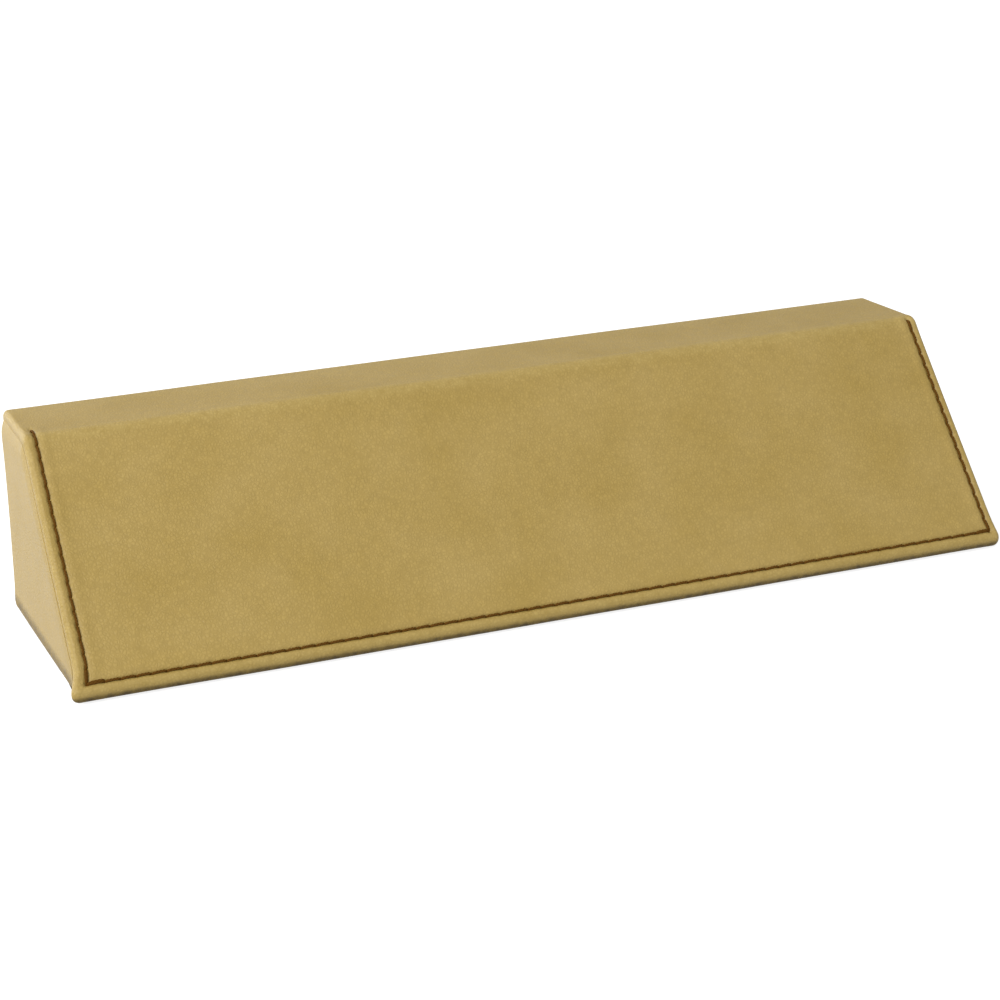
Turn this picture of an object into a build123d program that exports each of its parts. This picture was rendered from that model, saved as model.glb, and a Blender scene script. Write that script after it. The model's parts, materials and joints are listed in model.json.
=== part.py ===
from build123d import *

import math
import os

# A desk wedge of thin boards, wrapped in one sheet of stitched leatherette.
# Lengths are millimetres. X runs along the wedge, its face looks towards -Y and Z is up.
# The origin is the middle of the wedge's depth and length, on the desk.

# Body, measured over the cover
face_width = 215.9
cover_height = 46.8
top_depth = 26.0
face_slope = 48.4  # degrees above the desk

# Outside radii of the folds in the cover
nose_radius = 1.8
brow_radius = 4.0
back_top_radius = 2.2
heel_radius = 2.0
end_fold_radius = 1.3

# Thickness of each kind of stock: the cover and both end panels are cut from one sheet
sheet_thick = 0.9
board_thick = 3.0
felt_thick = 0.8

# How far the cover is turned in over the ends and under the base
end_turn_in = 10.0
base_turn_in = 14.0

# End panels and the tabs that they turn under the base
panel_margin = 2.0
panel_corner_radius = 0.8
tab_length = 10.0
tab_bend_radius = 0.7
tab_clearance = 0.5

# Cards that level the hollows between the turn-ins
card_clearance = 0.3

# Base felt
felt_margin = 3.0
felt_corner_radius = 3.0

# Stitching on the face
end_stitch_inset = 2.4
bottom_stitch_rise = 1.0
top_stitch_margin = 0.3
stitch_pitch = 3.2
stitch_gap = 0.5
thread_thick = 0.65
thread_tip_thick = 0.3
thread_taper = 0.6
thread_sides = 6
channel_depth = 0.3
channel_clearance = 0.1

# One overrun for every cut
overrun = 1.0

# The wedge's section, worked out from the sizes above
slope = math.radians(face_slope)
face_run = cover_height / math.tan(slope)
nose_tangent = nose_radius / math.tan(slope / 2)
brow_tangent = brow_radius * math.tan(slope / 2)
nose_setback = nose_tangent - nose_radius
body_depth = face_run + top_depth - nose_setback
back_y = body_depth / 2
nose_y = -body_depth / 2
front_y = nose_y - nose_setback
base_z = felt_thick
top_z = base_z + cover_height
end_x = face_width / 2

# The boards and the cover share this boundary
core_low_z = base_z + sheet_thick
core_top_z = top_z - sheet_thick
core_end_x = end_x - sheet_thick
inner_end_x = core_end_x - board_thick
tab_bend_top_z = core_low_z + tab_bend_radius

# The face as a drawing plane: across the width, and up the slope from the sharp front corner
face_plane = Plane(
    origin=(0, front_y, base_z),
    x_dir=(1, 0, 0),
    z_dir=(0, -math.sin(slope), math.cos(slope)),
)
stitch_row = nose_tangent + bottom_stitch_rise
stitch_top = cover_height / math.sin(slope) - brow_tangent - top_stitch_margin
stitch_column = end_x - end_stitch_inset
thread_width = thread_thick / math.cos(math.pi / thread_sides)


def face_y(z, inset):
    """Depth of the sloped face at a height, moved in by an inset."""
    return front_y + (z - base_z) / math.tan(slope) + inset / math.sin(slope)


def wedge_corners(inset, low_z):
    """Sharp corners of the section moved in by an inset, standing on a level line."""
    high_z = top_z - inset
    return [
        (face_y(low_z, inset), low_z),
        (face_y(high_z, inset), high_z),
        (back_y - inset, high_z),
        (back_y - inset, low_z),
    ]


def wedge_body(inset):
    """The whole wedge with its folds, moved in by an inset on every side."""
    fold_radii = [nose_radius, brow_radius, back_top_radius, heel_radius]
    outline = FilletPolyline(
        *wedge_corners(inset, base_z + inset),
        radius=[radius - inset for radius in fold_radii],
        close=True,
    )
    half_width = end_x - inset
    body = extrude(Plane.YZ * make_face(outline), half_width, both=True)
    end_faces = body.faces().sort_by(Axis.X)
    end_edges = end_faces[0].edges() + end_faces[-1].edges()
    return fillet(end_edges, end_fold_radius - inset)


core = wedge_body(sheet_thick)


def sheet_on_end(points, start_x, thickness, corner_radius=0):
    """A flat sheet against the right end, drawn in depth and height."""
    outline = FilletPolyline(*points, radius=corner_radius, close=True)
    end_plane = Plane.YZ.offset(start_x)
    return extrude(end_plane * make_face(outline), thickness)


def block(x_range, y_range, z_range):
    """A plain block between two limits each way."""
    size = [high - low for low, high in (x_range, y_range, z_range)]
    middle = [(low + high) / 2 for low, high in (x_range, y_range, z_range)]
    return Pos(*middle) * Box(*size)


def base_window():
    """Depth limits of the opening between the cover's turn-ins under the base."""
    return nose_y + base_turn_in, back_y - base_turn_in


def tab_limits():
    """Depth limits of an end panel's tab, clear of both kinds of turn-in."""
    base_front, base_back = base_window()
    front = max(base_front, face_y(tab_bend_top_z, end_turn_in))
    back = min(base_back, back_y - end_turn_in)
    return front + tab_clearance, back - tab_clearance


def stitch_channel():
    """The shallow channel that the three stitch runs lie in."""
    width = thread_width + channel_clearance * 2
    side_length = stitch_top - stitch_row + width / 2
    side = Rectangle(width, side_length, align=(Align.CENTER, Align.MIN))
    bottom = Pos(0, stitch_row) * Rectangle(stitch_column * 2 + width, width)
    sides = [Pos(x, stitch_row) * side for x in (-stitch_column, stitch_column)]
    cut = extrude(bottom + sides, overrun)
    cut += extrude(bottom + sides, -channel_depth)
    return face_plane * cut


def make_cover():
    """One sheet over the nose, face, top and back, turned in over the ends and the base."""
    sheet = wedge_body(0) - core
    window = wedge_corners(end_turn_in, base_z - overrun)
    right_window = sheet_on_end(window, core_end_x, sheet_thick + overrun)
    left_window = mirror(right_window, about=Plane.YZ)
    past_end_x = end_x + overrun
    base_opening = block((-past_end_x, past_end_x), base_window(), (base_z - overrun, core_low_z))
    return sheet - right_window - left_window - base_opening - stitch_channel()


def make_board(points):
    """A long board between the end boards, its outer edges following the core."""
    blank = Plane.YZ * Polygon(*points, align=None)
    return extrude(blank, inner_end_x, both=True) & core


def make_level_board(low_z):
    """The top or the base board, as deep as the core."""
    high_z = low_z + board_thick
    return make_board([(front_y, low_z), (back_y, low_z), (back_y, high_z), (front_y, high_z)])


def make_front_board():
    """The sloped board, standing on the base board under the top board."""
    low_z = core_low_z + board_thick
    high_z = core_top_z - board_thick
    inner = sheet_thick + board_thick
    return make_board([
        (face_y(low_z, sheet_thick), low_z),
        (face_y(high_z, sheet_thick), high_z),
        (face_y(high_z, inner), high_z),
        (face_y(low_z, inner), low_z),
    ])


def make_back_board():
    """The upright board, standing on the base board under the top board."""
    low_z = core_low_z + board_thick
    high_z = core_top_z - board_thick
    outer_y = back_y - sheet_thick
    inner_y = outer_y - board_thick
    return make_board([(inner_y, low_z), (outer_y, low_z), (outer_y, high_z), (inner_y, high_z)])


def make_end_board():
    """The right end board, a slice of the whole core."""
    return block((inner_end_x, core_end_x), (front_y, back_y), (base_z, top_z)) & core


def make_end_panel():
    """The right end panel, with its tab bent under the base between the turn-ins."""
    low_z = base_z + end_fold_radius
    plate = sheet_on_end(wedge_corners(panel_margin, low_z), end_x, sheet_thick, panel_corner_radius)
    outer_x = end_x + sheet_thick
    tab_x = core_end_x - tab_length
    bend_z = tab_bend_top_z
    outer_bend = tab_bend_radius + sheet_thick
    strip = FilletPolyline(
        (end_x, bend_z + outer_bend),
        (end_x, core_low_z),
        (tab_x, core_low_z),
        (tab_x, core_low_z - sheet_thick),
        (outer_x, core_low_z - sheet_thick),
        (outer_x, bend_z + outer_bend),
        radius=[0, tab_bend_radius, 0, 0, outer_bend, 0],
        close=True,
    )
    tab_front, tab_back = tab_limits()
    strip_plane = Plane(origin=(0, tab_back, 0), x_dir=(1, 0, 0), z_dir=(0, -1, 0))
    return plate + extrude(strip_plane * make_face(strip), tab_back - tab_front)


def make_end_card():
    """The right end card, level with the turn-ins round it."""
    points = wedge_corners(end_turn_in + card_clearance, tab_bend_top_z)
    return sheet_on_end(points, core_end_x, sheet_thick)


def make_base_card():
    """The base card, level with the turn-ins and the tabs round it."""
    front, back = base_window()
    half_length = core_end_x - tab_length - card_clearance
    return block(
        (-half_length, half_length),
        (front + card_clearance, back - card_clearance),
        (base_z, core_low_z),
    )


def make_felt():
    """The felt that the wedge stands on, set in from the edges of the base."""
    length = (end_x - felt_margin) * 2
    depth = body_depth - felt_margin * 2
    return extrude(RectangleRounded(length, depth, felt_corner_radius), felt_thick)


def make_stitch(length):
    """One stitch along X: a thread on a flat side, lower and narrower at both ends."""
    half = length / 2
    full = half - thread_taper
    tip_y = thread_tip_thick / 2
    full_y = thread_width / 2
    section = RegularPolygon(thread_thick / 2, thread_sides, major_radius=False)
    thread = extrude(Plane.YZ * Pos(0, thread_thick / 2) * section, half, both=True)
    right_side = [(half, 0), (half, thread_tip_thick), (full, thread_thick)]
    left_side = [(-x, z) for x, z in reversed(right_side)]
    side = Plane.XZ * Polygon(*right_side, *left_side, align=None)
    right_plan = [(full, -full_y), (half, -tip_y), (half, tip_y), (full, full_y)]
    left_plan = [(-x, -y) for x, y in right_plan]
    plan = Polygon(*right_plan, *left_plan, align=None)
    return thread & extrude(side, thread_width, both=True) & extrude(plan, thread_thick)


def make_stitch_run(start, end):
    """Stitches from one point of the face to another, seated on the channel's floor."""
    start, end = Vector(*start), Vector(*end)
    run = end - start
    count = round(run.length / stitch_pitch)
    spacing = run.length / count
    angle = math.degrees(math.atan2(run.Y, run.X))
    stitch = Rot(0, 0, angle) * make_stitch(spacing - stitch_gap)
    places = [start + run * ((index + 0.5) / count) for index in range(count)]
    floor = face_plane.offset(-channel_depth)
    return Compound(children=[floor * Pos(place) * stitch for place in places])


right_end_board = make_end_board()
right_end_panel = make_end_panel()
right_end_card = make_end_card()
bottom_left = (-stitch_column, stitch_row)
bottom_right = (stitch_column, stitch_row)

parts = {
    "core_front_board": make_front_board(),
    "core_top_board": make_level_board(core_top_z - board_thick),
    "core_back_board": make_back_board(),
    "core_base_board": make_level_board(core_low_z),
    "core_left_end_board": mirror(right_end_board, about=Plane.YZ),
    "core_right_end_board": right_end_board,
    "leatherette_cover": make_cover(),
    "left_end_panel": mirror(right_end_panel, about=Plane.YZ),
    "right_end_panel": right_end_panel,
    "left_end_infill_card": mirror(right_end_card, about=Plane.YZ),
    "right_end_infill_card": right_end_card,
    "base_infill_card": make_base_card(),
    "base_felt": make_felt(),
    "left_stitch_run": make_stitch_run(bottom_left, (-stitch_column, stitch_top)),
    "bottom_stitch_run": make_stitch_run(bottom_left, bottom_right),
    "right_stitch_run": make_stitch_run(bottom_right, (stitch_column, stitch_top)),
}

os.makedirs("parts", exist_ok=True)
for name, shape in parts.items():
    export_step(shape, f"parts/{name}.step")
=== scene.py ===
import json
import math

import bmesh
import bpy
import numpy as np
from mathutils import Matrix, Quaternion, Vector


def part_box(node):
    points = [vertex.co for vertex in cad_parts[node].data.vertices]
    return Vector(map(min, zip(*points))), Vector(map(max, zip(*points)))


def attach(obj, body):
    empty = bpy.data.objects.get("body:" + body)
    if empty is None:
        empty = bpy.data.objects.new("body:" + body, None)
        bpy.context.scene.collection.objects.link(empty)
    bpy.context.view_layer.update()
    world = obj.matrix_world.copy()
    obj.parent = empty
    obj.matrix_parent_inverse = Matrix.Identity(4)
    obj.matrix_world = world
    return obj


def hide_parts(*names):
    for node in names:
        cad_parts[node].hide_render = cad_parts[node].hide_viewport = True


# A desk wedge wrapped in stitched leatherette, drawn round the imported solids. Lengths are metres.
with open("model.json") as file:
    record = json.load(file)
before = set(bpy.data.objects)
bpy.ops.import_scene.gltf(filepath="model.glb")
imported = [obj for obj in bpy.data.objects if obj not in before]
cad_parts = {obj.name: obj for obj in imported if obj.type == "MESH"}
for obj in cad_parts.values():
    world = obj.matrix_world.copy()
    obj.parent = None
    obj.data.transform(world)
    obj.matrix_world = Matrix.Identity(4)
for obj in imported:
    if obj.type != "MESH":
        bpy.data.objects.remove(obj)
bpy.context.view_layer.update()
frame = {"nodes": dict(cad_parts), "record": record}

# Folds and turned-in edges of the cover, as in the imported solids
face_slope = math.radians(48.4)
nose_radius = 0.0018
brow_radius = 0.0040
back_top_radius = 0.0022
heel_radius = 0.0020
end_fold_radius = 0.0013
end_turn_in = 0.010
base_turn_in = 0.014

# Seam on the face
seam_end_inset = 0.0024
seam_rise = 0.0009
left_seam_over_brow = 0.0058
right_seam_over_brow = 0.0012
seam_shift_x = 0.0002
stitch_pitch = 0.0032

# Stitches: each is an arch of twisted plies, lower and a little aside at its ends
ply_count = 3
ply_radius = 0.00015
ply_offset = 0.00015
ply_turns_per_stitch = 1.6
ply_sides = 8
stitch_steps = 18
stitch_sink = 0.0008
stitch_rise = 0.00004
arch_power = 5
stitch_slant = 0.00006
slant_shares = (0.5, 1.5)
tack_shift = 0.00022
tack_rise = 0.00016

# Every run starts with a tack, a second stitch over the first, and these also end with one
end_tacked_runs = ("bottom", "right")

# How the glued sheet gives along the seam
furrow_depth = 0.00026
furrow_half = 0.00045
hole_depth = 0.00045
hole_half = 0.00042
hole_reach = 0.00126
swell_height = 0.00014
swell_offset = 0.0017
swell_half = 0.0010

# How it gives elsewhere. An ear is how far a pleated corner stands out: sideways, in depth and in height
nose_droop = 0.00035
nose_droop_half = 0.0020
roll_height = 0.00007
roll_lengths = (0.034, 0.047, 0.061, 0.088)
left_nose_ear = (0.0016, -0.0002, 0)
right_nose_ear = (0.00035, -0.0002, 0)
nose_ear_reach = 0.0037
brow_ear = (0.0001, -0.0001, 0)
back_ear = (0.0001, 0.0001, 0)
heel_ear = (0.0003, 0.0001, 0)
ear_reach = 0.0030

# Heights over the base between which the painted shade at the foot of the cover and of the end panels
# clears
cover_shade_start = 0.0006
cover_shade_end = 0.0016
panel_shade_start = 0.0027
panel_shade_end = 0.0048
panel_shade_share = 0.85

# Rows over which the wear and painted highlight of a fold fade, and how fast those of a panel's edge do
wear_and_highlight_fade_rows = 7
edge_wear_and_highlight_power = 3

# Mesh steps of the cover. Rows near the foot of the face and columns near the end folds are fine
fine_step = 0.00020
fine_rows_reach = 0.0027
fine_columns_reach = 0.0033
face_step = 0.00052
level_step = 0.0020
back_step = 0.0040
flange_steps = 5
arc_steps = 10
lining_stride = 40

# End panels, pared thin towards their front and top edges
panel_margin = 0.0020
panel_corner_radius = 0.0008
panel_edge_thick = 0.00005
panel_pared_width = 0.0036
panel_front_share = 0.25
panel_heel_flare = 0.0009
tab_length = 0.010
tab_bend_radius = 0.0007
tab_clearance = 0.0005
panel_step = 0.0010
pared_steps = 9
tab_steps = 9

# Felt
felt_corner_radius = 0.0030
felt_fuzz = 0.00016
felt_nap_round = 0.00025
felt_step = 0.0006

# Points nearer than this are one, and edges bent more than this stay crisp
weld_gap = 0.000001
crisp_angle = math.radians(50)

# Leatherette: tones, and tints that its flecks and the grooves of its grain multiply them by
leatherette_tan = (0.400, 0.276, 0.072)
leatherette_light = (0.441, 0.312, 0.097)
# Lighter tone on folds and pared edges: wear, and a painted highlight
leatherette_worn_and_highlighted = (0.470, 0.345, 0.115)
# Darker tone in the seam's furrow and needle holes: burn, and painted shade
leatherette_burnt_and_shaded = (0.190, 0.115, 0.030)
# Painted shade for the foot, where the base meets the desk
leatherette_foot_shade = (0.085, 0.060, 0.028)
fleck_tints = ((0.93, 0.93, 0.93), (1.05, 1.05, 1.04))
groove_tints = ((0.92, 0.91, 0.88), (1.02, 1.02, 1.02))

# Leatherette: sizes and depths of its texture
cloud_size = 0.016
fleck_size = 0.0016
grain_size = 0.0008
grain_wander = 0.0006
grain_depth = 0.00004
grain_groove_share = 0.34
pore_size = 0.0003
pore_depth = 0.00002

# Leatherette: parts of a noise over which one tone turns into another, and how far wear, painted highlight
# and painted shade may take it
cloud_shares = (0.3, 0.7)
fleck_shares = (0.25, 0.75)
worn_and_highlighted_shares = (0.2, 0.6)
burnt_and_shaded_shares = (0.2, 1)
foot_shade_shares = (0.3, 1)
most_worn_and_highlighted_share = 0.5
most_burnt_and_shaded_share = 0.25
most_foot_shade_share = 0.95

# Leatherette: roughness from one fleck to another, and gloss from unshaded to under the painted shade at
# the foot
leatherette_roughness = (0.38, 0.54)
leatherette_gloss = (0.5, 0.1)
leatherette_ior = 1.40

# Thread
thread_dark = (0.082, 0.033, 0.0015)
thread_light = (0.160, 0.068, 0.004)
thread_fibre_size = 0.00012
thread_fibre_depth = 0.00003
thread_roughness = (0.6, 0.8)
thread_gloss = 0.15

# Plain stock: dark and light tone, size of the fibres and roughness
felt_look = ((0.030, 0.020, 0.013), (0.062, 0.042, 0.028), 0.0006, 0.95)
board_look = ((0.34, 0.22, 0.12), (0.50, 0.36, 0.22), 0.0012, 0.8)
card_look = ((0.29, 0.265, 0.23), (0.40, 0.37, 0.33), 0.0008, 0.85)
fibre_shares = (0.3, 0.7)
fibre_depth_share = 0.2

# Octaves of each noise
cloud_detail = 3
fleck_detail = 4
wander_detail = 2
pore_detail = 2
thread_detail = 3
fibre_detail = 5

# Camera, solved from the picture's outline
camera_place = Vector((-0.18367, -0.49380, 0.18322))
camera_heading = math.radians(20.08)
camera_dip = math.radians(17.29)
camera_roll = math.radians(-2.53)
camera_lens_mm = 87.13
camera_sensor_mm = 36.0

# Floor and light
floor_half = 12.0
floor_drop = 0.00005
floor_white = 0.40
floor_lift = 0.84
room_white = (1, 1, 1)
ambient_strength = 0.515
key_power = 33.2
key_size = 1.3
key_place = Vector((-1.25, -1.12, 1.14))
rim_power = 2.25
rim_size = 0.6
rim_place = Vector((-0.40, 0.40, 0.28))

seed = 7
random = np.random.default_rng(seed)

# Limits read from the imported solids
cover_low, cover_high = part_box("leatherette_cover")
felt_low, felt_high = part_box("base_felt")
right_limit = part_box("right_end_panel")[1]
end_x = cover_high.x
nose_y, back_y = cover_low.y, cover_high.y
base_z, top_z = cover_low.z, cover_high.z
sheet_thick = right_limit.x - end_x

# Section and seam worked out from them
nose_tangent = nose_radius / math.tan(face_slope / 2)
front_y = nose_y - (nose_tangent - nose_radius)
brow_y = front_y + (top_z - base_z) / math.tan(face_slope)
flat_end_x = end_x - end_fold_radius
stitch_row = nose_tangent + seam_rise
stitch_column = end_x - seam_end_inset

# Outward normals of the section's sides, falling from one to the next round the wedge
quarter_turn = math.radians(90)
base_front_angle = math.radians(270)
face_angle = quarter_turn + face_slope
top_angle = quarter_turn
back_angle = 0
base_back_angle = -quarter_turn


class Outline:
    """A path round rounded corners in a plane, which can be drawn moved in by any depth.

    Angles are those of the outward normals, in radians from the plane's first axis to its second.
    """

    def __init__(self, corners, normal_angles, radii):
        self.corners = np.array(corners)
        self.radii = np.array(radii)
        before, after = np.array(normal_angles).T
        normal_before = np.stack([np.cos(before), np.sin(before)], axis=1)
        normal_after = np.stack([np.cos(after), np.sin(after)], axis=1)
        agreement = 1 + np.sum(normal_before * normal_after, axis=1)
        self.mitres = (normal_before + normal_after) / agreement[:, None]
        self.start, self.end, self.share, self.angle = [], [], [], []

    def add_edge(self, start, end, angle, shares):
        """Points on the straight run between two corners, by their shares of it."""
        for share in shares:
            self.add_point(start, end, share, angle)

    def add_arc(self, corner, angle_from, angle_to):
        """Points round one corner, both tangent points included."""
        for angle in np.linspace(angle_from, angle_to, arc_steps + 1):
            self.add_point(corner, corner, 0, angle)

    def add_point(self, start, end, share, angle):
        """One point at a share of the way between two corners."""
        self.start.append(start)
        self.end.append(end)
        self.share.append(share)
        self.angle.append(angle)

    def normals(self):
        """Outward normals of every point."""
        return np.stack([np.cos(self.angle), np.sin(self.angle)], axis=1)

    def points(self, depth):
        """Every point of the path, moved in by a depth; corners past their radius turn sharp."""
        centres = self.corners - np.maximum(self.radii, depth)[:, None] * self.mitres
        radii = np.maximum(self.radii - depth, 0)[:, None]
        normals = self.normals()
        first = centres[self.start] + radii[self.start] * normals
        last = centres[self.end] + radii[self.end] * normals
        return first + (last - first) * np.array(self.share)[:, None]


def even_shares(length, step):
    """Shares between the two ends of a run, the ends left out."""
    count = max(2, round(length / step))
    return np.arange(1, count) / count


def cover_section():
    """The cover's section, from its front turn-in under the base over the top to its back one."""
    flap_front, nose, brow, back_top, heel, flap_back = range(6)
    section = Outline(
        [
            (nose_y + base_turn_in, base_z),
            (front_y, base_z),
            (brow_y, top_z),
            (back_y, top_z),
            (back_y, base_z),
            (back_y - base_turn_in, base_z),
        ],
        [
            (base_front_angle, base_front_angle),
            (base_front_angle, face_angle),
            (face_angle, top_angle),
            (top_angle, back_angle),
            (back_angle, base_back_angle),
            (base_back_angle, base_back_angle),
        ],
        [0, nose_radius, brow_radius, back_top_radius, heel_radius, 0],
    )
    brow_tangent = brow_radius * math.tan(face_slope / 2)
    face_length = (top_z - base_z) / math.sin(face_slope) - nose_tangent - brow_tangent
    step_share = fine_step / face_length
    fine_end_share = fine_rows_reach / face_length
    fine_shares = np.arange(step_share, fine_end_share, step_share)
    plain_shares = fine_end_share + (1 - fine_end_share) * even_shares(face_length, face_step)
    flap_shares = even_shares(base_turn_in, level_step)
    top_shares = np.square(even_shares(back_y - brow_y, level_step))
    back_shares = even_shares(top_z - base_z, back_step)
    section.add_edge(flap_front, nose, base_front_angle, [0, *flap_shares])
    section.add_arc(nose, base_front_angle, face_angle)
    section.add_edge(nose, brow, face_angle, [*fine_shares, fine_end_share, *plain_shares])
    section.add_arc(brow, face_angle, top_angle)
    section.add_edge(brow, back_top, top_angle, top_shares)
    section.add_arc(back_top, top_angle, back_angle)
    section.add_edge(back_top, heel, back_angle, back_shares)
    section.add_arc(heel, back_angle, base_back_angle)
    section.add_edge(heel, flap_back, base_back_angle, [*flap_shares, 1])
    return section


# The sheet laid flat: x across the width, v up the section from the sharp front corner
section = cover_section()
section_line = section.points(0)
section_steps = np.linalg.norm(np.diff(section_line, axis=0), axis=1)
section_run = np.concatenate([[0], np.cumsum(section_steps)])
bent_rows = np.gradient(np.array(section.angle)) != 0
face_start = section.angle.index(face_angle)
nose_row = face_start - arc_steps
row_v = section_run - section_run[face_start] + nose_tangent
face_rows = [row for row, angle in enumerate(section.angle) if angle == face_angle]
brow_v = row_v[face_rows[-1]]
left_stitch_top = brow_v + left_seam_over_brow
right_stitch_top = brow_v + right_seam_over_brow


def on_sheet(x, v, height):
    """Place and outward normal at a height over a point of the sheet."""
    angle = np.interp(v, row_v, section.angle)
    y = np.interp(v, row_v, section_line[:, 0]) + height * np.cos(angle)
    z = np.interp(v, row_v, section_line[:, 1]) + height * np.sin(angle)
    x = np.broadcast_to(x, y.shape)
    return np.stack([x, y, z], axis=-1), np.stack([0 * x, np.cos(angle), np.sin(angle)], axis=-1)


def run_holes(start, end):
    """Needle holes from one end of a stitch run to the other, on the sheet."""
    start, end = np.array(start), np.array(end)
    count = round(np.linalg.norm(end - start) / stitch_pitch)
    return start + (end - start) * (np.arange(count + 1) / count)[:, None]


left_column, right_column = seam_shift_x - stitch_column, seam_shift_x + stitch_column
bottom_left, bottom_right = (left_column, stitch_row), (right_column, stitch_row)
stitch_runs = {
    "left": run_holes(bottom_left, (left_column, left_stitch_top)),
    "bottom": run_holes(bottom_left, bottom_right),
    "right": run_holes(bottom_right, (right_column, right_stitch_top)),
}


# Mesh helpers

def make_piece(name, points, faces, material, attributes=None):
    """A smooth mesh piece that rides on the body, with any point attributes that its material reads."""
    mesh = bpy.data.meshes.new(name)
    mesh.from_pydata(np.asarray(points).tolist(), [], faces)
    for key, values in (attributes or {}).items():
        layer = mesh.attributes.new(key, "FLOAT", "POINT")
        layer.data.foreach_set("value", np.asarray(values, dtype=np.float32))
    work = bmesh.new()
    work.from_mesh(mesh)
    bmesh.ops.remove_doubles(work, verts=work.verts, dist=weld_gap)
    bmesh.ops.recalc_face_normals(work, faces=work.faces)
    work.to_mesh(mesh)
    work.free()
    mesh.polygons.foreach_set("use_smooth", [True] * len(mesh.polygons))
    mesh.set_sharp_from_angle(angle=crisp_angle)
    mesh.materials.append(material)
    piece = bpy.data.objects.new(name, mesh)
    bpy.context.scene.collection.objects.link(piece)
    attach(piece, "root")
    return piece


def grid_faces(index, flipped=False):
    """Quads over a grid of point numbers."""
    quads = np.stack([index[:-1, :-1], index[:-1, 1:], index[1:, 1:], index[1:, :-1]], axis=-1)
    quads = quads.reshape(-1, 4)
    return (quads[:, ::-1] if flipped else quads).tolist()


def bump(distance, half_width):
    """A smooth rise that is 1 at no distance."""
    return np.exp(-np.square(distance / half_width))


def smooth_step(value, start, end):
    """0 before the start, 1 after the end and a smooth rise between them."""
    share = np.clip((value - start) / (end - start), 0, 1)
    return share * share * (3 - 2 * share)


# How the sheet gives

def seam_distance(x, v):
    """Distance on the sheet from the line that the stitches follow."""
    from_column = np.abs(x - seam_shift_x) - stitch_column
    to_bottom = np.hypot(np.maximum(from_column, 0), v - stitch_row)
    top = np.where(x < 0, left_stitch_top, right_stitch_top)
    past_run = np.maximum(stitch_row - v, 0) + np.maximum(v - top, 0)
    to_sides = np.hypot(from_column, past_run)
    return np.minimum(to_bottom, to_sides)


def hole_field(x, v):
    """How deep each point lies in a needle hole, 0 to 1."""
    field = np.zeros(x.shape)
    for hole_x, hole_v in np.concatenate(list(stitch_runs.values())):
        columns = np.flatnonzero(np.abs(x[0] - hole_x) < hole_reach)
        rows = np.flatnonzero(np.abs(v[:, 0] - hole_v) < hole_reach)
        near = np.ix_(rows, columns)
        distance = np.hypot(x[near] - hole_x, v[near] - hole_v)
        field[near] = np.maximum(field[near], bump(distance, hole_half))
    return field


def rolling(x, v):
    """Slow rise and fall of a sheet glued by hand, between -1 and 1."""
    total = np.zeros(x.shape)
    for length in roll_lengths:
        heading = random.uniform(0, math.tau)
        phase = random.uniform(0, math.tau)
        along = x * math.cos(heading) + v * math.sin(heading)
        total += np.sin(along / length * math.tau + phase)
    return total / len(roll_lengths)


def corner_ears(points):
    """How far the sheet stands out near the corners, where it is pleated under."""
    shift = np.zeros(points.shape)
    for side, nose_ear in ((-1, left_nose_ear), (1, right_nose_ear)):
        folds = [
            (nose_y, base_z + nose_radius, nose_ear, nose_ear_reach),
            (brow_y, top_z, brow_ear, ear_reach),
            (back_y, top_z, back_ear, ear_reach),
            (back_y, base_z + heel_radius, heel_ear, ear_reach),
        ]
        for y, z, ear, reach in folds:
            distance = np.linalg.norm(points - np.array([side * end_x, y, z]), axis=-1)
            shift += bump(distance, reach)[..., None] * np.array([side * ear[0], ear[1], ear[2]])
    return shift


def foot_painted_shade(points, start, end):
    """How much painted shade darkens each point near the desk: 1 up to the start height, 0 from the end
    one.
    """
    return 1 - smooth_step(points[:, :, 2] - base_z, start, end)


# Leatherette cover

def cover_columns():
    """Columns of the sheet from the left turn-in to the right one: place, depth in and turn of each.

    The turn is the angle of the outward normal from the section's own towards the end.
    """
    flange_shares = np.square(np.linspace(1, 0, flange_steps + 1)[:-1])
    flange_depths = end_fold_radius + (end_turn_in - end_fold_radius) * flange_shares
    fine_end_x = flat_end_x - fine_columns_reach
    seam_columns = np.arange(flat_end_x - fine_step, fine_end_x, -fine_step)
    middle_columns = np.linspace(-fine_end_x, fine_end_x, round(2 * fine_end_x / face_step))
    turns = np.linspace(quarter_turn, 0, arc_steps + 1)
    x = [
        -end_x + 0 * flange_depths,
        -flat_end_x - end_fold_radius * np.sin(turns),
        -seam_columns,
        middle_columns,
        seam_columns[::-1],
        flat_end_x + end_fold_radius * np.sin(turns[::-1]),
        end_x + 0 * flange_depths,
    ]
    arc_depths = end_fold_radius * (1 - np.cos(turns))
    level = [0 * seam_columns, 0 * middle_columns, 0 * seam_columns]
    depth = [flange_depths, arc_depths, *level, arc_depths[::-1], flange_depths[::-1]]
    upright = quarter_turn + 0 * flange_depths
    turn = [-upright, -turns, *level, turns[::-1], upright]
    return np.concatenate(x), np.concatenate(depth), np.concatenate(turn)


def lining_columns(x, depth, turn):
    """The same columns on the sheet's inner side."""
    inner_radius = end_fold_radius - sheet_thick
    on_flange = depth > end_fold_radius
    on_arc = (turn != 0) & ~on_flange
    inner_x = np.where(on_flange, np.sign(x) * (end_x - sheet_thick), x)
    inner_x = np.where(on_arc, np.sign(x) * flat_end_x + inner_radius * np.sin(turn), inner_x)
    inner_depth = np.where(on_flange, depth, sheet_thick)
    return inner_x, np.where(on_arc, end_fold_radius - inner_radius * np.cos(turn), inner_depth)


def sheet_points(x, depth):
    """Grid of points, section rows by columns."""
    drawn = {value: section.points(value) for value in set(depth.tolist())}
    columns = []
    for place, value in zip(x, depth.tolist()):
        columns.append(np.column_stack([np.full(len(row_v), place), drawn[value]]))
    return np.stack(columns, axis=1)


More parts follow.
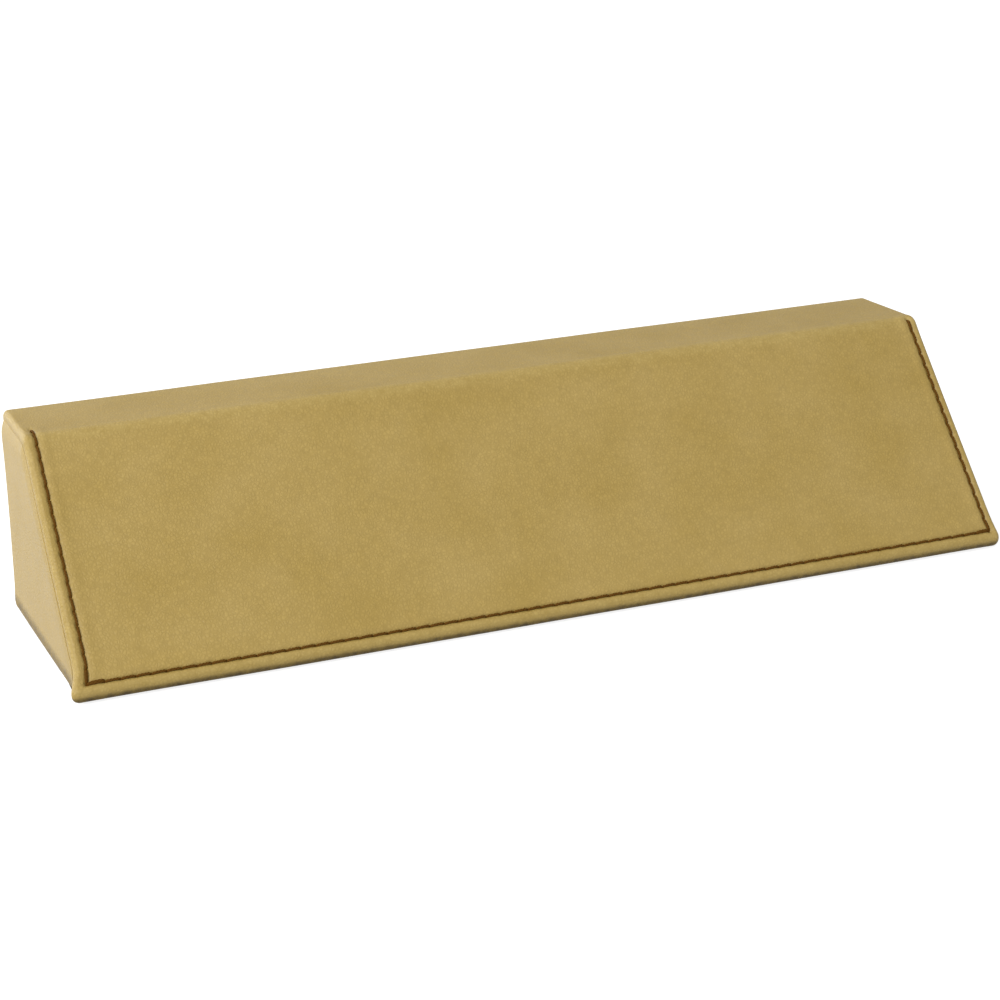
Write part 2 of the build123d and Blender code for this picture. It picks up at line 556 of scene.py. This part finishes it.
def sheet_normals(turn):
    """Outward normals of the same grid."""
    normals = np.zeros((len(row_v), len(turn), 3))
    normals[:, :, 0] = np.sin(turn)
    normals[:, :, 1:] = np.cos(turn)[None, :, None] * section.normals()[:, None, :]
    return normals


def cover_surface(x, depth, turn):
    """The sheet's outer side, and how deep each of its points lies in the seam, 0 to 1."""
    points = sheet_points(x, depth)

    # The fold's own turn counts as sheet past the end, so the seam's swell runs on over it
    sheet_x = np.where(turn == 0, x, np.sign(x) * flat_end_x + end_fold_radius * turn)
    grid_x, grid_v = np.meshgrid(sheet_x, row_v)
    distance = seam_distance(grid_x, grid_v)
    holes = hole_field(grid_x, grid_v)
    furrow = bump(distance, furrow_half)
    swell = bump(distance - swell_offset, swell_half)
    height = swell_height * swell - furrow_depth * furrow - hole_depth * holes
    height += roll_height * rolling(grid_x, grid_v)
    free = (depth < end_fold_radius)[None, :] & (points[:, :, 2] > base_z)
    height *= free * np.cos(turn)[None, :]

    # Under the end panels the sheet lies flat
    loose_share = 1 - np.clip(depth / end_fold_radius - 1, 0, 1)[None, :]
    droop = nose_droop * bump(row_v - row_v[nose_row], nose_droop_half)[:, None] * loose_share
    ears = corner_ears(points) * loose_share[:, :, None]
    points = points + sheet_normals(turn) * height[:, :, None] + ears
    points[:, :, 2] -= droop
    return points, np.maximum(furrow, holes)


def kept_places(bent):
    """Numbers of the places that the lining keeps: every bent one, and a few of the flat ones."""
    numbers = np.arange(len(bent))
    edges = np.zeros(len(bent), dtype=bool)
    edges[[0, -1]] = True
    return numbers[bent | edges | (numbers % lining_stride == 0)]


def rim_faces(outer_line, inner_line, kept):
    """Triangles that close the sheet's cut edge between its outer side and its lining."""
    faces = []
    for place in range(len(kept) - 1):
        outer_part = outer_line[kept[place]:kept[place + 1] + 1].tolist()
        hub, next_hub = inner_line[place:place + 2].tolist()
        faces += [(first, second, hub) for first, second in zip(outer_part[:-1], outer_part[1:])]
        faces.append((outer_part[-1], next_hub, hub))
    return faces


def fold_wear_and_highlight(turn):
    """How much wear and painted highlight each point takes along a fold, 0 to 1, by section row and column.
    """
    fade = np.hanning(wear_and_highlight_fade_rows)
    row_wear_and_highlight = np.convolve(bent_rows.astype(float), fade / fade.sum(), mode="same")

    # An end fold takes the most wear and painted highlight halfway round
    column_wear_and_highlight = np.sin(np.minimum(np.abs(turn) * 2, math.pi))
    return np.maximum(row_wear_and_highlight[:, None], column_wear_and_highlight[None, :])


def make_cover(material):
    """One sheet over the nose, face, top and back, turned in all round, with its lining."""
    x, depth, turn = cover_columns()
    points, seam = cover_surface(x, depth, turn)
    rows, columns = seam.shape
    keep_rows = kept_places(bent_rows)
    keep_columns = kept_places(turn != 0)
    lining_x, lining_depth = lining_columns(x, depth, turn)
    lining = sheet_points(lining_x[keep_columns], lining_depth[keep_columns])[keep_rows]

    outer = np.arange(rows * columns).reshape(rows, columns)
    inner = outer.size + np.arange(len(keep_rows) * len(keep_columns)).reshape(lining.shape[:2])
    faces = grid_faces(outer, flipped=True) + grid_faces(inner)
    faces += rim_faces(outer[0], inner[0], keep_columns)
    faces += rim_faces(outer[-1][::-1], inner[-1][::-1], columns - 1 - keep_columns[::-1])
    faces += rim_faces(outer[::-1, 0], inner[::-1, 0], rows - 1 - keep_rows[::-1])
    faces += rim_faces(outer[:, -1], inner[:, -1], keep_rows)

    bare = np.zeros(inner.size)
    # Painted shade along the foot of the cover
    foot_shade = foot_painted_shade(points, cover_shade_start, cover_shade_end)
    attributes = {
        # The seam share darkens the colour: burn, and painted shade in the furrow and holes
        "seam": np.concatenate([seam.ravel(), bare]),
        # The fold share lightens the colour: wear, and a painted highlight
        "fold": np.concatenate([fold_wear_and_highlight(turn).ravel(), bare]),
        "foot_shade": np.concatenate([foot_shade.ravel(), bare]),
    }
    all_points = np.concatenate([points.reshape(-1, 3), lining.reshape(-1, 3)])
    piece = make_piece("cover_sheet", all_points, faces, material, attributes)
    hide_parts("leatherette_cover")


# Stitches

def add_ply(points, faces, spine, sides, ups, phase):
    """One closed strand that winds round a spine."""
    wind = phase + np.linspace(0, ply_turns_per_stitch, len(spine)) * math.tau
    centre = spine + ply_offset * (np.cos(wind)[:, None] * sides + np.sin(wind)[:, None] * ups)
    first = sum(len(part) for part in points)
    around = np.linspace(0, math.tau, ply_sides, endpoint=False)
    ring = np.cos(around)[None, :, None] * sides[:, None] + np.sin(around)[None, :, None] * ups[:, None]
    points.append((centre[:, None] + ply_radius * ring).reshape(-1, 3))
    index = first + np.arange(len(spine) * ply_sides).reshape(len(spine), ply_sides)
    closed = np.concatenate([index, index[:, :1]], axis=1)
    faces += grid_faces(closed)
    faces.append(index[0].tolist())
    faces.append(index[-1][::-1].tolist())


def add_stitch(points, faces, start, end, shift, rise):
    """One twisted stitch between two needle holes, moved aside and up by a little."""
    shares = np.linspace(0, 1, stitch_steps)
    from_middle = 2 * shares - 1
    arch = 1 - np.abs(from_middle) ** arch_power
    height = stitch_rise + rise + stitch_sink * (arch - 1)
    along = (end - start) / np.linalg.norm(end - start)
    across = np.array([-along[1], along[0]])
    lean = stitch_slant * random.uniform(*slant_shares)
    aside = shift * arch + lean * from_middle
    flat = start + (end - start) * shares[:, None] + across * aside[:, None]
    spine, normals = on_sheet(flat[:, 0], flat[:, 1], height)
    spine = spine + corner_ears(spine)
    tangents = np.gradient(spine, axis=0)
    tangents /= np.linalg.norm(tangents, axis=1)[:, None]
    sides = np.cross(tangents, normals)
    sides /= np.linalg.norm(sides, axis=1)[:, None]
    ups = np.cross(sides, tangents)
    phase = random.uniform(0, math.tau)
    for ply in range(ply_count):
        add_ply(points, faces, spine, sides, ups, phase + ply * math.tau / ply_count)


def make_stitch_run(side, holes, material):
    """A run of stitches that dive into the needle holes, with its tacks."""
    points, faces = [], []
    for start, end in zip(holes[:-1], holes[1:]):
        add_stitch(points, faces, start, end, 0, 0)
    tacks = [holes[:2], holes[-2:]] if side in end_tacked_runs else [holes[:2]]
    for start, end in tacks:
        add_stitch(points, faces, start, end, tack_shift, tack_rise)
    piece = make_piece(side + "_stitches", np.concatenate(points), faces, material)
    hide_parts(side + "_stitch_run")


# End panels

def panel_limits():
    """The panel's front and back edges as lines of depth and height, its corners rounded."""
    low_z = base_z + sheet_thick + tab_bend_radius
    high_z = top_z - panel_margin
    inset_y = front_y + panel_margin / math.sin(face_slope)
    corners = [
        (inset_y + (low_z - base_z) / math.tan(face_slope), low_z),
        (inset_y + (high_z - base_z) / math.tan(face_slope), high_z),
        (back_y - panel_margin, high_z),
        (back_y - panel_margin, low_z),
    ]
    angles = [base_front_angle, face_angle, top_angle, back_angle, base_back_angle]
    turns = list(zip(angles[:-1], angles[1:]))
    outline = Outline(corners, turns, [panel_corner_radius] * len(corners))
    for corner, (angle_from, angle_to) in enumerate(turns):
        outline.add_arc(corner, angle_from, angle_to)
    points = outline.points(0)
    half = len(points) // 2
    return points[:half], points[half:][::-1]


def pared_places():
    """Distances from a pared edge, closest together at the edge itself."""
    return panel_pared_width * np.square(np.linspace(0, 1, pared_steps))


def panel_rows(front_line, back_line):
    """Rows of the right panel from its top to the end of its tab.

    Each row has its front and back limit, its outward direction in X and Z, the point of its inner
    side, and how far it lies below the panel's top edge.
    """
    high_z, low_z = front_line[-1, 1], front_line[0, 1]
    count = round((high_z - low_z - panel_pared_width) / panel_step)
    plain = np.linspace(high_z - panel_pared_width, low_z, count)[1:]
    rows = []
    for z in [*(high_z - pared_places()), *plain]:
        front = np.interp(z, front_line[:, 1], front_line[:, 0])
        back = np.interp(z, back_line[:, 1], back_line[:, 0])
        rows.append((front, back, (1, 0), (end_x, z), high_z - z))
    tab_front = nose_y + base_turn_in + tab_clearance
    tab_back = back_y - base_turn_in - tab_clearance
    bend_x = end_x - tab_bend_radius
    for turn in np.linspace(0, quarter_turn, arc_steps + 1)[1:]:
        out = (math.cos(turn), -math.sin(turn))
        place = (bend_x + tab_bend_radius * out[0], low_z + tab_bend_radius * out[1])
        rows.append((tab_front, tab_back, out, place, panel_pared_width))
    for x in np.linspace(bend_x, end_x - sheet_thick - tab_length, tab_steps + 1)[1:]:
        rows.append((tab_front, tab_back, (0, -1), (x, base_z + sheet_thick), panel_pared_width))
    return rows


def draw_panel_row(front, back, out, place, from_top):
    """Points of one row on the panel's inner and outer side, and how far each is pared, 0 to 1."""
    pared = pared_places()
    low_y, high_y = front + panel_pared_width, back - panel_pared_width
    plain = low_y + (high_y - low_y) * even_shares(back_y - nose_y, panel_step)
    y = np.concatenate([front + pared, plain, (back - pared)[::-1]])
    full_share = np.clip(np.minimum(y - front, from_top) / panel_pared_width, 0, 1)
    back_share = np.clip((y - nose_y) / (back_y - nose_y), 0, 1)
    full = sheet_thick * (panel_front_share + (1 - panel_front_share) * back_share)
    thick = panel_edge_thick + (full - panel_edge_thick) * np.sin(full_share * quarter_turn)
    below_share = (top_z - place[1]) / (top_z - base_z)
    flare = panel_heel_flare * back_share * np.square(below_share) * out[0]
    inner = np.stack([place[0] + 0 * y, y, place[1] + 0 * y], axis=1)
    outer = inner + np.stack([thick * out[0] + flare, 0 * y, thick * out[1]], axis=1)
    return inner, outer, 1 - full_share


def make_end_panel(name, node, side, material):
    """A thin sheet on one end, pared at its front and top, with a tab bent under the base."""
    drawn = [draw_panel_row(*row) for row in panel_rows(*panel_limits())]
    inner, outer, pared_share = (np.array(part) for part in zip(*drawn))
    rolled = rolling(outer[:, :, 1], outer[:, :, 2]) * (1 - pared_share)
    outer[:, :, 0] += roll_height * rolled * (outer[:, :, 0] > end_x)
    points = np.concatenate([outer, inner])
    points[:, :, 0] *= side
    points += corner_ears(points)

    rows, columns = pared_share.shape
    outer_index, inner_index = np.arange(2 * rows * columns).reshape(2, rows, columns)
    faces = grid_faces(outer_index) + grid_faces(inner_index, flipped=True)
    for edge in ((0, slice(None)), (-1, slice(None)), (slice(None), 0), (slice(None), -1)):
        faces += grid_faces(np.stack([outer_index[edge], inner_index[edge]]))

    # Lighter towards the pared edges, in the folds' tone of wear and painted highlight
    worn_and_highlighted = np.concatenate([pared_share.ravel() ** edge_wear_and_highlight_power, np.zeros(inner_index.size)])
    # Painted shade along the foot of the panel
    foot_shade = panel_shade_share * foot_painted_shade(points, panel_shade_start, panel_shade_end)
    attributes = {"fold": worn_and_highlighted, "seam": 0 * worn_and_highlighted, "foot_shade": foot_shade.ravel()}
    piece = make_piece(name, points.reshape(-1, 3), faces, material, attributes)
    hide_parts(node)


# Felt

def make_felt(material):
    """The felt under the base, with a rounded, slightly ragged edge."""
    corners = [
        (felt_low.x, felt_low.y),
        (felt_high.x, felt_low.y),
        (felt_high.x, felt_high.y),
        (felt_low.x, felt_high.y),
    ]
    angles = [quarter_turn * turn for turn in range(-2, 3)]
    turns = list(zip(angles[:-1], angles[1:]))
    lengths = [felt_high.x - felt_low.x, felt_high.y - felt_low.y] * 2
    outline = Outline(corners, turns, [felt_corner_radius] * len(corners))
    for corner, (angle_from, angle_to) in enumerate(turns):
        following = (corner + 1) % len(corners)
        outline.add_arc(corner, angle_from, angle_to)
        outline.add_edge(corner, following, angle_to, even_shares(lengths[corner], felt_step))
    ragged = outline.normals() * (felt_fuzz * random.uniform(-1, 0, len(outline.share)))[:, None]

    # Inset and height of each ring, from the desk up
    levels = [
        (felt_nap_round, 0),
        (0, felt_nap_round),
        (0, felt_high.z - felt_nap_round),
        (felt_nap_round, felt_high.z),
    ]
    rings = []
    for inset, z in levels:
        rings.append(np.column_stack([outline.points(inset) + ragged, np.full(len(ragged), z)]))
    index = np.arange(len(rings) * len(ragged)).reshape(len(rings), -1)
    closed = np.concatenate([index, index[:, :1]], axis=1)
    faces = grid_faces(closed) + [index[0].tolist(), index[-1].tolist()]
    piece = make_piece("felt_pad", np.concatenate(rings), faces, material)
    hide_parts("base_felt")


# Nodes that the materials are made of

# Numbers of a mix node's sockets for colours, which share their names with others
mix_first, mix_second, mix_result = 6, 7, 2


def new_material(name):
    """A node material with its shader, and the object's own coordinates for its textures."""
    material = bpy.data.materials.new(name)
    material.use_nodes = True
    tree = material.node_tree
    place = tree.nodes.new("ShaderNodeTexCoord").outputs["Object"]
    return material, tree, tree.nodes["Principled BSDF"], place


def add_noise(tree, place, size, detail):
    """A noise node whose blotches are about a given size across."""
    node = tree.nodes.new("ShaderNodeTexNoise")
    tree.links.new(place, node.inputs["Vector"])
    node.inputs["Scale"].default_value = 1 / size
    node.inputs["Detail"].default_value = detail
    return node


def noise(tree, place, size, detail):
    """Noise from 0 to 1."""
    return add_noise(tree, place, size, detail).outputs["Fac"]


def jitter(tree, place, size, amount, detail):
    """Coordinates moved about by a noise, so that cells on them look grown."""
    move = tree.nodes.new("ShaderNodeVectorMath")
    move.operation = "MULTIPLY_ADD"
    tree.links.new(add_noise(tree, place, size, detail).outputs["Color"], move.inputs[0])
    move.inputs[1].default_value = (amount, amount, amount)
    tree.links.new(place, move.inputs[2])
    return move.outputs["Vector"]


def stretch(tree, share, low, high, top_share=1.0, ease="LINEAR"):
    """A share from 0 to a top share stretched to run from low to high."""
    node = tree.nodes.new("ShaderNodeMapRange")
    node.interpolation_type = ease
    tree.links.new(share, node.inputs["Value"])
    node.inputs["From Max"].default_value = top_share
    node.inputs["To Min"].default_value = low
    node.inputs["To Max"].default_value = high
    return node.outputs["Result"]


def pebbles(tree, place, size, groove_share):
    """Pebbles about a given size across: 1 on their tops, falling to 0 in the grooves between them."""
    node = tree.nodes.new("ShaderNodeTexVoronoi")
    node.feature = "DISTANCE_TO_EDGE"
    tree.links.new(place, node.inputs["Vector"])
    node.inputs["Scale"].default_value = 1 / size
    return stretch(tree, node.outputs["Distance"], 0, 1, groove_share, "SMOOTHSTEP")


def blend_colours(tree, share, low, high, start_share=0, end_share=1):
    """A colour that goes from low to high as a share goes from its start to its end."""
    ramp = tree.nodes.new("ShaderNodeValToRGB")
    tree.links.new(share, ramp.inputs["Fac"])
    ramp.color_ramp.elements[0].position = start_share
    ramp.color_ramp.elements[0].color = (*low, 1)
    ramp.color_ramp.elements[1].position = end_share
    ramp.color_ramp.elements[1].color = (*high, 1)
    return ramp.outputs["Color"]


def add_mix(tree, first, second, blend_type):
    """A node that mixes two colours, and its output."""
    node = tree.nodes.new("ShaderNodeMix")
    node.data_type = "RGBA"
    node.blend_type = blend_type
    tree.links.new(first, node.inputs[mix_first])
    tree.links.new(second, node.inputs[mix_second])
    return node, node.outputs[mix_result]


def mix_colours(tree, share, first, second):
    """A colour that goes from the first to the second by a share."""
    node, colour = add_mix(tree, first, second, "MIX")
    tree.links.new(share, node.inputs["Factor"])
    return colour


def tint(tree, first, second):
    """One colour multiplied by another."""
    node, colour = add_mix(tree, first, second, "MULTIPLY")
    node.inputs["Factor"].default_value = 1
    return colour


def from_attribute(tree, name, low, high):
    """A value that goes from low to high as a point attribute of the mesh goes from 0 to 1."""
    node = tree.nodes.new("ShaderNodeAttribute")
    node.attribute_name = name
    return stretch(tree, node.outputs["Fac"], low, high)


def add_bump(tree, height, depth, below=None):
    """A bump of a given depth, over an earlier one."""
    node = tree.nodes.new("ShaderNodeBump")
    node.inputs["Strength"].default_value = 1
    node.inputs["Distance"].default_value = depth
    tree.links.new(height, node.inputs["Height"])
    if below:
        tree.links.new(below, node.inputs["Normal"])
    return node.outputs["Normal"]


# Materials

def leatherette_tone(tree, flecks, clouds, grain):
    """Soft clouds of tan, flecked, lighter on folds with wear and a painted highlight, darker in the seam
    with burn and painted shade, and darker at the foot with painted shade.
    """
    tone = blend_colours(tree, clouds, leatherette_tan, leatherette_light, *cloud_shares)
    tone = tint(tree, tone, blend_colours(tree, flecks, *fleck_tints, *fleck_shares))
    # Lighter on folds: wear, and a painted highlight
    worn_and_highlighted = blend_colours(tree, flecks, leatherette_tan, leatherette_worn_and_highlighted, *worn_and_highlighted_shares)
    tone = mix_colours(tree, from_attribute(tree, "fold", 0, most_worn_and_highlighted_share), tone, worn_and_highlighted)
    # Darker in the seam's furrow and holes: burn, and painted shade
    burnt_and_shaded = blend_colours(tree, flecks, leatherette_burnt_and_shaded, leatherette_tan, *burnt_and_shaded_shares)
    tone = mix_colours(tree, from_attribute(tree, "seam", 0, most_burnt_and_shaded_share), tone, burnt_and_shaded)
    # Painted shade at the foot
    shaded_foot = blend_colours(tree, flecks, leatherette_foot_shade, leatherette_tan, *foot_shade_shares)
    tone = mix_colours(tree, from_attribute(tree, "foot_shade", 0, most_foot_shade_share), tone, shaded_foot)
    return tint(tree, tone, blend_colours(tree, grain, *groove_tints))


def leatherette_material():
    """Tan leatherette with a fine pebbled grain, pores and a low, uneven sheen."""
    material, tree, shader, place = new_material("leatherette")
    clouds = noise(tree, place, cloud_size, cloud_detail)
    flecks = noise(tree, place, fleck_size, fleck_detail)
    pores = noise(tree, place, pore_size, pore_detail)
    grown = jitter(tree, place, grain_size, grain_wander, wander_detail)
    grain = pebbles(tree, grown, grain_size, grain_groove_share)
    tree.links.new(leatherette_tone(tree, flecks, clouds, grain), shader.inputs["Base Color"])
    normal = add_bump(tree, pores, pore_depth, add_bump(tree, grain, grain_depth))
    tree.links.new(normal, shader.inputs["Normal"])
    tree.links.new(stretch(tree, flecks, *leatherette_roughness), shader.inputs["Roughness"])
    # Less gloss under the painted shade at the foot
    tree.links.new(from_attribute(tree, "foot_shade", *leatherette_gloss), shader.inputs["Specular IOR Level"])
    shader.inputs["IOR"].default_value = leatherette_ior
    return material


def thread_material():
    """Dark brown thread with fine fibres."""
    material, tree, shader, place = new_material("thread")
    fibres = noise(tree, place, thread_fibre_size, thread_detail)
    tone = blend_colours(tree, fibres, thread_dark, thread_light, *fibre_shares)
    tree.links.new(tone, shader.inputs["Base Color"])
    tree.links.new(add_bump(tree, fibres, thread_fibre_depth), shader.inputs["Normal"])
    tree.links.new(stretch(tree, fibres, *thread_roughness), shader.inputs["Roughness"])
    shader.inputs["Specular IOR Level"].default_value = thread_gloss
    return material


def plain_fibre_material(name, dark, light, size, roughness):
    """Felt, board or card: flecked fibres of two tones."""
    material, tree, shader, place = new_material(name)
    fibres = noise(tree, place, size, fibre_detail)
    tone = blend_colours(tree, fibres, dark, light, *fibre_shares)
    tree.links.new(tone, shader.inputs["Base Color"])
    tree.links.new(add_bump(tree, fibres, size * fibre_depth_share), shader.inputs["Normal"])
    shader.inputs["Roughness"].default_value = roughness
    return material


slot_materials = {
    "leatherette": leatherette_material(),
    "thread": thread_material(),
    "felt": plain_fibre_material("felt", *felt_look),
    "board": plain_fibre_material("board", *board_look),
    "card": plain_fibre_material("card", *card_look),
}
for subpart in frame["record"]["subparts"]:
    node = frame["nodes"][subpart["node"]]
    node.data.materials.clear()
    node.data.materials.append(slot_materials[subpart["material_slot"]])

make_cover(slot_materials["leatherette"])
make_end_panel("left_panel", "left_end_panel", -1, slot_materials["leatherette"])
make_end_panel("right_panel", "right_end_panel", 1, slot_materials["leatherette"])
make_felt(slot_materials["felt"])
for side, holes in stitch_runs.items():
    make_stitch_run(side, holes, slot_materials["thread"])


# Camera, floor and light

def make_camera():
    """The picture's own viewpoint."""
    data = bpy.data.cameras.new("camera")
    data.lens = camera_lens_mm
    data.sensor_width = camera_sensor_mm
    camera = bpy.data.objects.new("camera", data)
    level = math.cos(camera_dip)
    look = Vector((
        math.sin(camera_heading) * level,
        math.cos(camera_heading) * level,
        -math.sin(camera_dip),
    ))
    camera.location = camera_place
    camera.rotation_mode = "QUATERNION"
    camera.rotation_quaternion = look.to_track_quat("-Z", "Y") @ Quaternion((0, 0, 1), camera_roll)
    bpy.context.scene.collection.objects.link(camera)
    bpy.context.scene.camera = camera


def shown_to_eye(tree):
    """1 for what the camera sees, straight, in gloss or through glass.

    It is 0 for light that falls on things.
    """
    path = tree.nodes.new("ShaderNodeLightPath")
    total = path.outputs["Is Camera Ray"]
    for other in ("Is Glossy Ray", "Is Transmission Ray"):
        node = tree.nodes.new("ShaderNodeMath")
        node.operation = "MAXIMUM"
        tree.links.new(total, node.inputs[0])
        tree.links.new(path.outputs[other], node.inputs[1])
        total = node.outputs[0]
    return total


def floor_material():
    """Pale paint that shows white to the camera where it is lit, and is clear from below."""
    material = bpy.data.materials.new("floor")
    material.use_nodes = True
    tree = material.node_tree
    tree.nodes.clear()
    paint = tree.nodes.new("ShaderNodeBsdfDiffuse")
    paint.inputs["Color"].default_value = (floor_white, floor_white, floor_white, 1)
    lift = tree.nodes.new("ShaderNodeMath")
    lift.operation = "MULTIPLY"
    lift.inputs[1].default_value = floor_lift
    tree.links.new(shown_to_eye(tree), lift.inputs[0])
    glow = tree.nodes.new("ShaderNodeEmission")
    tree.links.new(lift.outputs[0], glow.inputs["Strength"])
    both = tree.nodes.new("ShaderNodeAddShader")
    tree.links.new(paint.outputs[0], both.inputs[0])
    tree.links.new(glow.outputs[0], both.inputs[1])
    clear = tree.nodes.new("ShaderNodeBsdfTransparent")
    side = tree.nodes.new("ShaderNodeNewGeometry")
    one_sided = tree.nodes.new("ShaderNodeMixShader")
    tree.links.new(side.outputs["Backfacing"], one_sided.inputs[0])
    tree.links.new(both.outputs[0], one_sided.inputs[1])
    tree.links.new(clear.outputs[0], one_sided.inputs[2])
    output = tree.nodes.new("ShaderNodeOutputMaterial")
    tree.links.new(one_sided.outputs[0], output.inputs["Surface"])
    return material


def make_floor():
    """A plain floor just under the felt, which keeps the shadow."""
    signs = [(-1, -1), (1, -1), (1, 1), (-1, 1)]
    corners = [(x * floor_half, y * floor_half, -floor_drop) for x, y in signs]
    mesh = bpy.data.meshes.new("floor")
    mesh.from_pydata(corners, [], [tuple(range(len(corners)))])
    mesh.materials.append(floor_material())
    floor = bpy.data.objects.new("floor", mesh)
    bpy.context.scene.collection.objects.link(floor)


def make_room():
    """Pale light from all round."""
    world = bpy.data.worlds.new("room")
    bpy.context.scene.world = world
    world.use_nodes = True
    background = world.node_tree.nodes["Background"]
    background.inputs["Color"].default_value = (*room_white, 1)
    background.inputs["Strength"].default_value = ambient_strength


def make_lamp(name, power, size, place):
    """A square soft lamp that looks at the middle of the base."""
    data = bpy.data.lights.new(name, "AREA")
    data.energy = power
    data.size = size
    lamp = bpy.data.objects.new(name, data)
    lamp.location = place
    lamp.rotation_mode = "QUATERNION"
    lamp.rotation_quaternion = place.to_track_quat("Z", "Y")
    bpy.context.scene.collection.objects.link(lamp)


make_camera()
make_floor()
make_room()
make_lamp("key", key_power, key_size, key_place)
make_lamp("rim", rim_power, rim_size, rim_place)
bpy.context.scene.view_settings.view_transform = "Standard"
